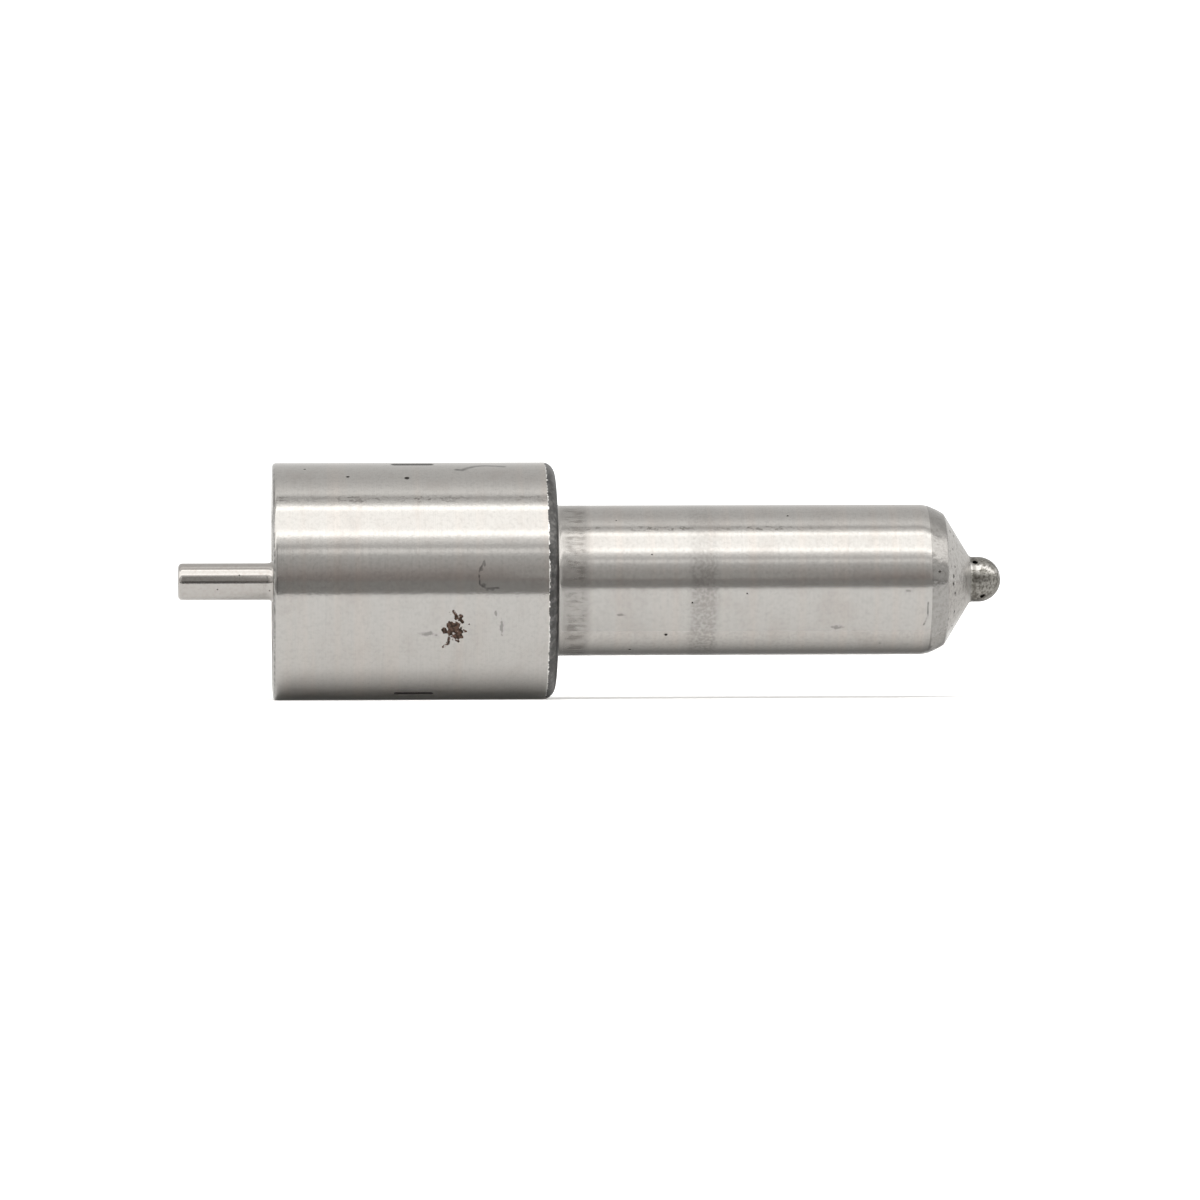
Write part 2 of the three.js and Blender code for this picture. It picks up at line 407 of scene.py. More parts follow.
def spray_cutters():
    """Spray holes, each with a small flared mouth where it leaves the dome."""
    centre = TIP_END - TIP_RADIUS - SPRAY_ORIGIN
    turns = [SPRAY_SPREAD, math.pi - SPRAY_SPREAD, math.pi + SPRAY_SPREAD, -SPRAY_SPREAD]
    tools = []
    for turn in turns:
        lean = SPRAY_HALF_CONE + SPRAY_LEAN * math.sin(turn)
        exit_at = TIP_RADIUS / math.sin(lean)
        if exit_at * math.cos(lean) > centre:
            along = centre * math.cos(lean)
            exit_at = along + math.sqrt(along**2 + TIP_RADIUS**2 - centre**2)
        start = place(SPRAY_ORIGIN, 0, turn)
        reach = exit_at + SPRAY_TOOL_END
        end = place(SPRAY_ORIGIN + reach * math.cos(lean), reach * math.sin(lean), turn)
        profile = [
            (0, SPRAY_RADIUS),
            (exit_at - SPRAY_FLARE, SPRAY_RADIUS),
            (exit_at, SPRAY_RADIUS + SPRAY_FLARE),
            (reach, SPRAY_RADIUS + 3 * SPRAY_FLARE),
        ]
        tools.append(cutter(start, end, profile, HOLE_STEPS))
    return tools


def needle_outline():
    """From the end of the tail over the guide and the shaft to the point."""
    seat_gap = BORE_CLEARANCE / math.cos(SEAT_HALF_ANGLE)

    def seat_place(radius):
        return SAC_START - (radius + seat_gap - SAC_RADIUS) / math.tan(SEAT_HALF_ANGLE)

    tip_length = (SEAT_LINE_RADIUS - NEEDLE_TIP_RADIUS) / math.tan(NEEDLE_TIP_HALF_ANGLE)
    tip_place = seat_place(SEAT_LINE_RADIUS) + tip_length
    return outline(
        [
            ("ground", [(-TAIL_LENGTH, 0)], 0),
            ("ground", [(-TAIL_LENGTH, TAIL_RADIUS)], TAIL_ROUND),
            ("ground", [(LIFT, TAIL_RADIUS)], TAIL_FILLET),
            ("ground", [(LIFT, GUIDE_RADIUS - STOP_CHAMFER)], EDGE_BREAK),
            ("bore", [(LIFT + STOP_CHAMFER, GUIDE_RADIUS)], EDGE_BREAK),
            ("bore", [(LIFT_CONE_START, GUIDE_RADIUS)], EDGE_BREAK),
            ("bore", [(LIFT_CONE_END, SHAFT_RADIUS)], EDGE_BREAK),
            ("bore", [(seat_place(SHAFT_RADIUS), SHAFT_RADIUS)], EDGE_BREAK),
            ("bore", [(seat_place(SEAT_LINE_RADIUS), SEAT_LINE_RADIUS)], 0),
            ("bore", [(tip_place, NEEDLE_TIP_RADIUS)], 0),
            ("bore", [(tip_place, 0)], 0),
        ]
    )


# ---------------------------------------------------------------- shader helpers


class Tree:
    """A node tree, with short ways to add nodes, maths and masks to it."""

    def __init__(self, tree):
        self.tree = tree

    def feed(self, socket, value):
        """Links the socket to another, or sets it to a plain value."""
        if isinstance(value, bpy.types.NodeSocket):
            self.tree.links.new(value, socket)
        else:
            socket.default_value = value

    def node(self, kind, **inputs):
        node = self.tree.nodes.new(kind)
        for name, value in inputs.items():
            self.feed(node.inputs[name], value)
        return node

    def math(self, operation, *values):
        node = self.tree.nodes.new("ShaderNodeMath")
        node.operation = operation
        for socket, value in zip(node.inputs, values):
            self.feed(socket, value)
        return node.outputs["Value"]

    def chain(self, operation, values):
        """One value from several, taken into the result one after another."""
        result = values[0]
        for value in values[1:]:
            result = self.math(operation, result, value)
        return result

    def product(self, *values):
        return self.chain("MULTIPLY", values)

    def total(self, *values):
        return self.chain("ADD", values)

    def most(self, *values):
        return self.chain("MAXIMUM", values)

    def weighted(self, base, *parts):
        """A base plus several values, each times its weight."""
        for value, weight in parts:
            base = self.math("MULTIPLY_ADD", value, weight, base)
        return base

    def length(self, first, second):
        """The length of the long side of a right triangle with these two short sides."""
        squares = self.total(self.math("POWER", first, 2), self.math("POWER", second, 2))
        return self.math("SQRT", squares)

    def smooth(self, value, low, high, out_low=0.0, out_high=1.0):
        """Eases from out_low to out_high while the value goes from low to high."""
        node = self.tree.nodes.new("ShaderNodeMapRange")
        node.interpolation_type = "SMOOTHSTEP"
        names = ("Value", "From Min", "From Max", "To Min", "To Max")
        for name, setting in zip(names, (value, low, high, out_low, out_high)):
            self.feed(node.inputs[name], setting)
        return node.outputs["Result"]

    def between(self, value, low, high, soft):
        """1 where the value lies between two limits, easing off over a distance of soft at each."""
        rise = self.smooth(value, low - soft, low + soft)
        fall = self.smooth(value, high - soft, high + soft, 1.0, 0.0)
        return self.product(rise, fall)

    def mix(self, amount, first, second):
        node = self.tree.nodes.new("ShaderNodeMix")
        node.data_type = "RGBA"
        for name, value in (("Factor_Float", amount), ("A_Color", first), ("B_Color", second)):
            socket = next(socket for socket in node.inputs if socket.identifier == name)
            self.feed(socket, value)
        return next(socket for socket in node.outputs if socket.identifier == "Result_Color")

    def layered(self, colour, *layers):
        """A colour with others over it, each laid on by its own mask."""
        for mask, layer in layers:
            colour = self.mix(mask, colour, layer)
        return colour


class Surface(Tree):
    """A material's tree. Its coordinates are in millimetres, with the sealing face at 0 along the axis."""

    def __init__(self, name):
        self.material = bpy.data.materials.new(name)
        self.material.use_nodes = True
        super().__init__(self.material.node_tree)
        self.bsdf = self.tree.nodes["Principled BSDF"]
        metres = self.node("ShaderNodeTexCoord").outputs["Object"]
        face = (-SEALING_FACE / MM, 0, 0)
        scale = (1 / MM, 1 / MM, 1 / MM)
        mapping = self.node("ShaderNodeMapping", Vector=metres, Location=face, Scale=scale)
        self.point = mapping.outputs["Vector"]
        split = self.node("ShaderNodeSeparateXYZ", Vector=self.point)
        self.axial, across, self.up = split.outputs
        facing = self.product(across, -1)
        self.turn = self.math("DEGREES", self.math("ARCTAN2", self.up, facing))
        self.radius = self.length(across, self.up)

    def stretched(self, axial, around, shift=0.0):
        """Texture coordinates scaled along the axis and across it, for streaks that run round the axis."""
        scale = (axial, around, around)
        node = self.node("ShaderNodeMapping", Vector=self.point, Scale=scale, Location=(shift, shift, shift))
        return node.outputs["Vector"]

    def grain(self, size, detail=3.0, roughness=0.5, shift=0.0):
        """Noise with features of about this size in millimetres, the same in every direction."""
        return self.noise(0.5 / size, 0.5 / size, detail, roughness, shift)

    def noise(self, axial, around, detail=3.0, roughness=0.5, shift=0.0):
        """Noise with these scales, per millimetre, along the axis and across it."""
        spot = self.stretched(axial, around, shift)
        node = self.node("ShaderNodeTexNoise", Vector=spot, Scale=1.0, Detail=detail, Roughness=roughness)
        return node.outputs["Fac"]

    def turning_lines(self, per_mm):
        """Noise in lines round the axis, on a flat face as well as on a round one."""
        spot = self.node("ShaderNodeCombineXYZ", X=self.axial, Y=self.radius).outputs["Vector"]
        return self.node("ShaderNodeTexNoise", Vector=spot, Scale=per_mm, Detail=2.0).outputs["Fac"]

    def pits(self, per_mm, share, radius, shift=0.0):
        """Scattered round spots: a share of the cells of a grid of per_mm holds one, up to this radius."""
        node = self.node("ShaderNodeTexVoronoi", Vector=self.stretched(1.0, 1.0, shift), Scale=per_mm)
        chosen = self.node("ShaderNodeSeparateColor", Color=node.outputs["Color"])
        kept = self.math("LESS_THAN", chosen.outputs["Red"], share)
        size = self.math("MULTIPLY_ADD", chosen.outputs["Green"], 0.6, 0.4)
        edge = self.product(size, radius * per_mm)
        inside = self.math("SUBTRACT", 1.0, self.math("DIVIDE", node.outputs["Distance"], edge))
        return self.product(self.smooth(inside, 0.0, 0.5), kept)

    def reach(self, axial, turn, length, width, around_radius):
        """0 at an axial place and a turn, 1 on the edge of an oval of this length and width round them."""
        along = self.math("DIVIDE", self.math("SUBTRACT", self.axial, axial), length / 2)
        arc_length = math.radians(1) * around_radius
        aside = self.product(self.math("SUBTRACT", self.turn, turn), 2 * arc_length / width)
        return self.length(along, aside)

    def spot(self, axial, turn, size, around_radius):
        """A round spot with soft edges, from 1 to 0."""
        return self.smooth(self.reach(axial, turn, size, size, around_radius), 0.7, 1.15, 1.0, 0.0)

    def flaked(self, axial, turn, length, width, around_radius, flakes, soft=0.12):
        """A patch that breaks up into flakes towards its edge."""
        reach = self.reach(axial, turn, length, width, around_radius)
        cover = self.math("MULTIPLY_ADD", reach, -0.9, self.math("MULTIPLY_ADD", flakes, 2.8, -0.6))
        return self.smooth(cover, 0.0, soft)

    def scratch(self, start, end, width, around_radius, core=0.5):
        """A thin mark between two (axial place, turn) points, from 1 in its core to 0 beside it."""
        arc_length = math.radians(1) * around_radius
        span = Vector((end[0] - start[0], (end[1] - start[1]) * arc_length))
        length = span.length
        span.normalize()
        along = self.math("SUBTRACT", self.axial, start[0])
        aside = self.product(self.math("SUBTRACT", self.turn, start[1]), arc_length)
        run = self.math("MULTIPLY_ADD", along, span.x, self.product(aside, span.y))
        off = self.math("MULTIPLY_ADD", along, -span.y, self.product(aside, span.x))
        past = self.most(self.product(run, -1), self.math("SUBTRACT", run, length), 0)
        return self.smooth(self.length(off, past), core * width / 2, width / 2, 1.0, 0.0)

    def scratches(self, ends, width, around_radius, core=0.5):
        """Several scratches as one mask."""
        return self.most(*[self.scratch(start, end, width, around_radius, core) for start, end in ends])

    def relief(self, *heights):
        """Bumps one on another. Each is a height, and the millimetres that a height of 1 stands for."""
        normal = None
        for height, distance in heights:
            node = self.node("ShaderNodeBump", Height=height, Distance=distance * MM)
            if normal is not None:
                self.feed(node.inputs["Normal"], normal)
            normal = node.outputs["Normal"]
        return normal

    def finish(self, colour, roughness, normal, anisotropy=0.0):
        """Anisotropy spreads reflections along the axis, across lines that run round it."""
        self.feed(self.bsdf.inputs["Base Color"], colour)
        self.feed(self.bsdf.inputs["Roughness"], roughness)
        self.feed(self.bsdf.inputs["Normal"], normal)
        self.bsdf.inputs["Metallic"].default_value = 1.0
        if anisotropy:
            self.bsdf.inputs["Anisotropic"].default_value = anisotropy
            self.bsdf.inputs["Anisotropic Rotation"].default_value = 0.25
            tangent = self.node("ShaderNodeTangent")
            tangent.direction_type = "RADIAL"
            tangent.axis = "X"
            self.feed(self.bsdf.inputs["Tangent"], tangent.outputs["Tangent"])
        return self.material


# ---------------------------------------------------------------- materials

STEEL = (0.46, 0.448, 0.43, 1)
WARM_STEEL = (0.478, 0.448, 0.42, 1)
STAINED_STEEL = (0.375, 0.34, 0.315, 1)
DULL_STEEL = (0.3, 0.292, 0.28, 1)
SCUFFED_STEEL = (0.2, 0.187, 0.175, 1)
SCALE = (0.09, 0.088, 0.085, 1)
PIT = (0.04, 0.036, 0.032, 1)
RUST = (0.13, 0.084, 0.066, 1)
DARK_RUST = (0.045, 0.034, 0.027, 1)
BURR = (0.92, 0.91, 0.89, 1)
BURR_BESIDE = (0.6, 0.585, 0.565, 1)
EDGE_SCALE = (0.08, 0.079, 0.078, 1)
EDGE_SCALE_LIGHT = (0.165, 0.162, 0.157, 1)
EDGE_SCALE_LINES = (0.175, 0.172, 0.167, 1)
EDGE_SCALE_PATCHES = (0.06, 0.059, 0.058, 1)
EDGE_SCALE_RIM = (0.03, 0.03, 0.029, 1)
BRIGHT_CONE = (0.55, 0.535, 0.515, 1)
TIP_SCALE = (0.11, 0.104, 0.092, 1)
TIP_SCALE_LIGHT = (0.3, 0.29, 0.265, 1)
# Bright bare steel of the tip, laid where the glint falls: partly a painted highlight.
TIP_BARE_GLINT_STEEL = (0.5, 0.485, 0.465, 1)
TIP_ROOT_SCALE = (0.09, 0.083, 0.07, 1)
OIL_FILM_THIN = (0.24, 0.228, 0.208, 1)
OIL_FILM = (0.14, 0.13, 0.115, 1)

# Marks of handling on the ground surfaces. A patch or smudge is (axial place, turn, length, width) and a pit
# (axial place, turn, size). A scratch or streak runs between two (axial place, turn) points.
RUST_PATCHES = [(12.88, -23.8, 1.35, 1.95), (12.1, -24.5, 0.45, 0.55)]
RUST_STREAKS = [
    ((12.7, -14.8), (12.95, -17.4)),
    ((13.2, -16.6), (13.3, -17.3)),
    ((12.4, -28.4), (12.35, -31.6)),
    ((12.35, -31.6), (12.0, -33.4)),
]
RUST_STREAK_WIDTH = 0.26
COLLAR_SMUDGES = [
    (10.9, -26.3, 1.6, 0.5),
    (14.9, 8.3, 0.2, 0.6),
    (14.67, 5.5, 0.35, 0.4),
    (15.35, -4.3, 1.2, 0.3),
    (14.8, -2.3, 0.4, 0.4),
    (15.7, -16.5, 0.25, 0.9),
    (16.1, -23.5, 0.3, 1.3),
]
STEM_SMUDGES = [
    (24.7, -27.0, 0.8, 0.25),
    (40.2, -39.0, 1.6, 0.4),
    (43.4, -58.0, 0.6, 0.5),
    (45.3, -8.8, 0.7, 0.25),
]
COLLAR_SCRATCHES = [
    ((14.85, 9.0), (14.5, 4.0)),
    ((14.5, 4.0), (14.55, -1.8)),
    ((14.55, -1.8), (15.0, -3.8)),
    ((15.0, -3.8), (15.9, -3.5)),
]
ARC_SCRATCH = [
    ((13.15, 68.8), (13.5, 68.2)),
    ((13.5, 68.2), (13.95, 71.3)),
    ((13.95, 71.3), (14.5, 74.0)),
    ((14.5, 74.0), (15.2, 75.3)),
    ((15.2, 75.3), (16.5, 73.5)),
]
STEM_SCRATCHES = [((46.65, -18.0), (46.65, -29.0)), ((46.65, -29.0), (46.4, -37.0))]
SCRATCH_WIDTH = 0.16
ARC_SCRATCH_WIDTH = 0.62
ETCHED_BARS = [(78.5, 0.9), (-70.3, 0.55)]  # turn and width
ETCHED_BAR_START = 8.8
ETCHED_BAR_END = 11.2
WEAR_RING = (29.7, 31.6)
ROOT_HAZE = (20.4, 22.5)
ROOT_SMEARS = (20.9, 22.2)
SCUFF_AND_REFLECTION_LINE = (40.8, 45.2)  # turns of the band where the dark line of the surroundings is reflected on the collar and the stem; fine scuffs laid only there darken it: partly scuffs, partly a painted dark reflection
SCUFF_AND_REFLECTION_LINE_END = 40.5
REAR_RIM = 0.19  # how wide the dark rim round the sealing face is
COLLAR_PITS = [(5.35, 60.9, 0.28), (9.55, 59.5, 0.4), (2.3, 70.0, 0.2)]
STEM_PITS = [
    (25.5, -66.3, 0.2),
    (26.95, 19.7, 0.11),
    (28.0, -46.1, 0.24),
    (29.8, -17.4, 0.13),
    (33.7, -10.4, 0.11),
    (36.8, 57.9, 0.18),
]
NOSE_PIT = (47.5, 6.0, 0.22)
PITTED_CONE = 0.7  # how far the cone's pits reach from the chamfer
TIP_BARE_GLINT_TURNS = (18, 44)  # turns of the band where the tip is painted bare and bright: partly flaked-off scale, partly a painted highlight where the glint falls
GROUND_END = COLLAR_LENGTH - 0.7  # about where the collar's ground surface gives way to scale


def stained(surface):
    """Steel with warm rings, cloudy stains, a fine mottle and faint grinding lines."""
    rings = surface.noise(0.75, 0.02, detail=2.0, shift=31.0)
    clouds = surface.noise(0.5, 0.35, detail=6.0, roughness=0.6, shift=7.0)
    mottle = surface.grain(0.14, detail=4.0, roughness=0.6, shift=3.0)
    lines = surface.noise(14.0, 0.25, detail=4.0)
    colour = surface.layered(
        STEEL,
        (surface.smooth(rings, 0.48, 0.66, 0.0, 0.7), WARM_STEEL),
        (surface.smooth(clouds, 0.46, 0.74, 0.0, 0.35), STAINED_STEEL),
        (surface.smooth(mottle, 0.42, 0.72, 0.0, 0.27), DULL_STEEL),
        (surface.smooth(lines, 0.35, 0.75, 0.0, 0.12), DULL_STEEL),
    )
    return colour, mottle, lines


def worn_fading_in_highlight(surface, speckle):
    """A dull ring where the stem has rubbed, made fainter on the upper side where the highlight falls (a
    painted highlight), and a haze with smears beside the collar.
    """
    ring = surface.between(surface.axial, *WEAR_RING, 0.4)
    rubbed = surface.smooth(speckle, 0.36, 0.62, 0.15, 0.5)
    # Painted highlight: the ring fades towards the top, where the highlight falls.
    ring = surface.product(ring, rubbed, surface.smooth(surface.up, 0.5, 3.0, 1.0, 0.35))
    haze = surface.product(surface.between(surface.axial, *ROOT_HAZE, 0.3), 0.32)
    strokes = surface.noise(0.6, 2.4, detail=4.0, roughness=0.6, shift=21.0)
    smears = surface.between(surface.axial, *ROOT_SMEARS, 0.3)
    smears = surface.product(smears, 0.55, surface.smooth(strokes, 0.44, 0.64))
    return surface.total(ring, haze, smears)


def scuffed_on_reflected_line(surface):
    """A line of fine broken scuffs along the upper front, in some stretches and not in others, laid on the
    band where the dark line of the surroundings is reflected: partly scuffs, partly a painted dark
    reflection.
    """
    line = surface.between(surface.turn, *SCUFF_AND_REFLECTION_LINE, 0.8)
    fading = surface.smooth(surface.axial, SCUFF_AND_REFLECTION_LINE_END - 1.5, SCUFF_AND_REFLECTION_LINE_END + 1.5, 1.0, 0.1)
    specks = surface.noise(2.2, 4.5, detail=4.0, roughness=0.65, shift=19.0)
    stretches = surface.noise(0.24, 0.02, detail=2.0, shift=41.0)
    broken = surface.smooth(specks, 0.5, 0.6)
    return surface.product(line, fading, broken, surface.smooth(stretches, 0.42, 0.58, 0.2, 0.8))


def scratched(surface, flakes):
    """Thin scratches on the collar and at the end of the stem, and a broad one near the collar's top."""
    thin = surface.most(
        surface.scratches(COLLAR_SCRATCHES, SCRATCH_WIDTH, COLLAR_RADIUS),
        surface.scratches(STEM_SCRATCHES, SCRATCH_WIDTH, STEM_RADIUS),
    )
    thin = surface.product(thin, surface.smooth(flakes, 0.38, 0.6, 0.15, 0.7))
    broad = surface.scratches(ARC_SCRATCH, ARC_SCRATCH_WIDTH, COLLAR_RADIUS, core=0.1)
    broad = surface.product(broad, surface.smooth(flakes, 0.35, 0.6, 0.65, 0.85))
    return surface.most(thin, broad)


def etched(surface):
    """Plain grey bars of shallow etching."""
    bars = []
    for turn, width in ETCHED_BARS:
        bars.append(surface.scratch((ETCHED_BAR_START, turn), (ETCHED_BAR_END, turn), width, COLLAR_RADIUS))
    return surface.product(surface.most(*bars), 0.92)


def smudged(surface, flakes):
    """Short grey smudges that break up at their edges."""
    patches = [surface.flaked(*patch, COLLAR_RADIUS, flakes, soft=0.6) for patch in COLLAR_SMUDGES]
    patches += [surface.flaked(*patch, STEM_RADIUS, flakes, soft=0.6) for patch in STEM_SMUDGES]
    return surface.product(surface.most(*patches), 0.5)


def rimmed(surface, flakes):
    """The dark rim round the sealing face."""
    rim = surface.smooth(surface.axial, REAR_RIM / 2, REAR_RIM, 0.78, 0.0)
    return surface.product(rim, surface.smooth(flakes, 0.36, 0.64, 0.25, 0.9))


def pitted(surface):
    """Small pits scattered everywhere, and larger ones at places of their own."""
    pits = [surface.pits(0.45, 0.22, 0.09)]
    pits += [surface.spot(*pit, COLLAR_RADIUS) for pit in COLLAR_PITS]
    pits += [surface.spot(*pit, STEM_RADIUS) for pit in STEM_PITS]
    return surface.most(*pits)


def rusted(surface, flakes):
    """Flaking patches of rust, with thin streaks beside them."""
    patches = [surface.flaked(*patch, COLLAR_RADIUS, flakes) for patch in RUST_PATCHES]
    streaks = surface.scratches(RUST_STREAKS, RUST_STREAK_WIDTH, COLLAR_RADIUS)
    streaks = surface.product(streaks, surface.smooth(flakes, 0.4, 0.5, 0.25, 1.0))
    return surface.most(*patches, streaks)


def ground_steel():
    """Cylindrically ground steel that has been handled: grinding lines, stains, scuffs, pits and rust, with
    a painted dark reflection in the scuff line and a painted highlight where the wear ring fades on top.
    """
    surface = Surface("ground_steel")
    stains, mottle, lines = stained(surface)
    speckle = surface.grain(0.12, detail=4.0, shift=13.0)
    flakes = surface.grain(0.19, detail=4.0, roughness=0.55, shift=5.0)
    # The wear ring in this mask fades on the upper side as a painted highlight.
    dull = worn_fading_in_highlight(surface, speckle)
    marks = surface.most(rimmed(surface, flakes), scratched(surface, flakes), smudged(surface, flakes))
    pits = pitted(surface)
    dark = surface.most(pits, etched(surface))
    rust = rusted(surface, flakes)
    colour = surface.layered(
        stains,
        # Partly painted: the scuff line deepens the reflected dark line, and the wear ring fades under the
        # highlight.
        (surface.most(dull, scuffed_on_reflected_line(surface)), SCUFFED_STEEL),
        (marks, SCALE),
        (dark, PIT),
        (rust, surface.mix(surface.smooth(speckle, 0.42, 0.58), DARK_RUST, RUST)),
    )

    collar_or_stem = surface.smooth(surface.radius, STEM_RADIUS + 0.5, STEM_RADIUS + 1.0, 0.15, 0.11)
    marked = surface.most(dark, rust)
    roughness = surface.weighted(collar_or_stem, (mottle, 0.06), (dull, 0.15), (marked, 0.45))
    waves = surface.noise(0.3, 2.0, detail=2.0, shift=17.0)
    ripples = surface.noise(1.3, 0.9, detail=2.0, shift=23.0)
    normal = surface.relief(
        (surface.weighted(waves, (ripples, 0.5)), 0.0014),
        (surface.total(lines, mottle, surface.product(speckle, 0.5)), 0.0027),
        (surface.weighted(surface.product(pits, -1), (rust, speckle)), 0.03),
    )
    return surface.finish(colour, roughness, normal, anisotropy=0.6)


def edge_scale(surface, grain, patches, lines):
    """Scale with a fine grain and turning lines, darkest in a band round the shoulder's outer edge."""
    front = surface.smooth(surface.axial, COLLAR_LENGTH - 0.22, COLLAR_LENGTH - 0.1)
    shoulder_end = COLLAR_RADIUS - FRONT_ROUND
    outer = surface.smooth(surface.radius, shoulder_end - 0.25, shoulder_end + 0.05)
    rim = surface.product(front, outer, surface.smooth(patches, 0.36, 0.6, 0.7, 1.0))
    return surface.layered(
        EDGE_SCALE,
        (surface.smooth(grain, 0.36, 0.7), EDGE_SCALE_LIGHT),
        (surface.smooth(lines, 0.4, 0.65, 0.0, 0.45), EDGE_SCALE_LINES),
        (surface.smooth(patches, 0.44, 0.6, 0.0, 0.65), EDGE_SCALE_PATCHES),
        (rim, EDGE_SCALE_RIM),
    )


def unground_edge():
    """The collar's front: a bright burr where the grinding ends, then turned steel under dark scale."""
    surface = Surface("unground_edge")
    grain = surface.grain(0.12, detail=5.0, roughness=0.6)
    patches = surface.grain(0.3, detail=3.0, shift=11.0)
    lines = surface.turning_lines(4.5)
    notches = surface.smooth(patches, 0.54, 0.66, 0.0, 0.26)
    ragged = surface.weighted(surface.axial, (surface.math("SUBTRACT", grain, 0.5), 0.4))
    ragged = surface.total(ragged, notches)
    scale = surface.smooth(ragged, GROUND_END - 0.03, GROUND_END + 0.03)
    burr = surface.between(ragged, GROUND_END - 0.11, GROUND_END, 0.03)
    burr = surface.product(burr, surface.smooth(patches, 0.4, 0.55, 0.2, 0.9))
    scale_colour = edge_scale(surface, grain, patches, lines)
    colour = surface.layered(BURR_BESIDE, (scale, scale_colour), (burr, BURR))
    roughness = surface.weighted(0.16, (grain, 0.14), (burr, 0.25), (scale, 0.14))
    fine = surface.weighted(surface.product(grain, 0.3), (scale, -1.0))
    normal = surface.relief((surface.product(lines, scale), 0.02), (fine, 0.03))
    return surface.finish(colour, roughness, normal)


def nose_pitted(surface):
    """Pits on the cone beside the chamfer, one on the chamfer, and small ones scattered everywhere."""
    beside = surface.between(surface.axial, NOSE_START + 0.05, NOSE_START + PITTED_CONE, 0.1)
    beside = surface.product(beside, surface.pits(2.0, 0.6, 0.2, shift=2.0))
    return surface.most(beside, surface.spot(*NOSE_PIT, STEM_RADIUS), surface.pits(1.1, 0.2, 0.08))


def nose_steel():
    """The nose: a duller chamfer, then a satin cone, pitted beside it and brighter at the spray tip."""
    surface = Surface("nose_steel")
    lines = surface.noise(9.0, 0.3, detail=3.0)
    mottle = surface.grain(0.15, detail=5.0, roughness=0.65, shift=5.0)
    dents = surface.grain(0.35, detail=2.0, shift=8.0)
    chamfer = surface.smooth(surface.axial, NOSE_START - 0.04, NOSE_START + 0.04, 1.0, 0.0)
    pits = nose_pitted(surface)
    inner = surface.smooth(surface.axial, TIP_ROOT - 0.6, TIP_ROOT - 0.1)
    colour = surface.layered(
        STEEL,
        (surface.product(chamfer, 0.82), DULL_STEEL),
        (surface.smooth(mottle, 0.42, 0.72, 0.0, 0.5), SCUFFED_STEEL),
        (surface.product(pits, 0.85), PIT),
        (surface.product(inner, 0.5), BRIGHT_CONE),
    )
    roughness = surface.weighted(0.14, (mottle, 0.16), (inner, 0.2))
    normal = surface.relief(
        (lines, 0.003),
        (surface.product(dents, chamfer), 0.045),
        (mottle, 0.008),
        (surface.product(pits, -1), 0.04),
    )
    return surface.finish(colour, roughness, normal, anisotropy=0.3)


def spray_tip_steel():
    """The spray tip: brown-grey scale, bare in the fillet at its root, with bright bare patches in a band
    above its middle: partly flaked-off scale, partly a painted highlight where the glint falls.
    """
    surface = Surface("spray_tip_steel")
    grain = surface.grain(0.09, detail=4.0, roughness=0.6)
    patches = surface.grain(0.2, detail=4.0, roughness=0.6, shift=9.0)
    # Painted highlight: bright bare steel laid only in the band of turns where the glint falls.
    flaked_off_glint = surface.between(surface.turn, *TIP_BARE_GLINT_TURNS, 12)
    flaked_off_glint = surface.product(flaked_off_glint, surface.smooth(patches, 0.44, 0.53))
    root = surface.between(surface.axial, TIP_ROOT + 0.1, TIP_ROOT + 0.35, 0.06)
    colour = surface.layered(
        TIP_SCALE,
        (surface.smooth(grain, 0.36, 0.64), TIP_SCALE_LIGHT),
        (flaked_off_glint, TIP_BARE_GLINT_STEEL),
        (surface.product(root, 0.5), TIP_ROOT_SCALE),
        (surface.smooth(surface.axial, TIP_ROOT - 0.12, TIP_ROOT + 0.02, 0.85, 0.0), STEEL),
    )
    roughness = surface.weighted(0.3, (flaked_off_glint, -0.18))
    return surface.finish(colour, roughness, surface.relief((patches, 0.035), (grain, 0.006)))


def lapped_steel():
    """The sealing face: lapped flat and bright, with a light haze of fine scratches."""
    surface = Surface("lapped_steel")
    haze = surface.noise(2.0, 1.4, detail=5.0, roughness=0.6)
    scratches = surface.noise(1.0, 12.0, detail=3.0, shift=4.0)
    colour = surface.layered(STEEL, (surface.smooth(haze, 0.4, 0.75, 0.0, 0.4), STAINED_STEEL))
    return surface.finish(colour, surface.weighted(0.14, (haze, 0.12)), surface.relief((scratches, 0.001)))


def bore_steel():
    """Bores, holes and grooves: duller, with a film of old oil."""
    surface = Surface("bore_steel")
    film = surface.noise(1.2, 1.2, detail=4.0)
    colour = surface.layered(OIL_FILM_THIN, (film, OIL_FILM))
    return surface.finish(colour, surface.weighted(0.3, (film, 0.2)), surface.relief((film, 0.01)))


def needle_steel():
    """The needle's tail: bright, finely ground, with small nicks."""
    surface = Surface("needle_steel")
    lines = surface.noise(16.0, 0.8, detail=3.0)
    mottle = surface.grain(0.12, detail=4.0, shift=6.0)
    colour = surface.layered(
        STEEL,
        (surface.smooth(mottle, 0.4, 0.75, 0.25, 0.65), STAINED_STEEL),
        (surface.pits(1.3, 0.3, 0.09, shift=1.0), PIT),
    )
    roughness = surface.weighted(0.1, (mottle, 0.06))
    return surface.finish(colour, roughness, surface.relief((lines, 0.001)), anisotropy=0.4)


# ---------------------------------------------------------------- building the pieces


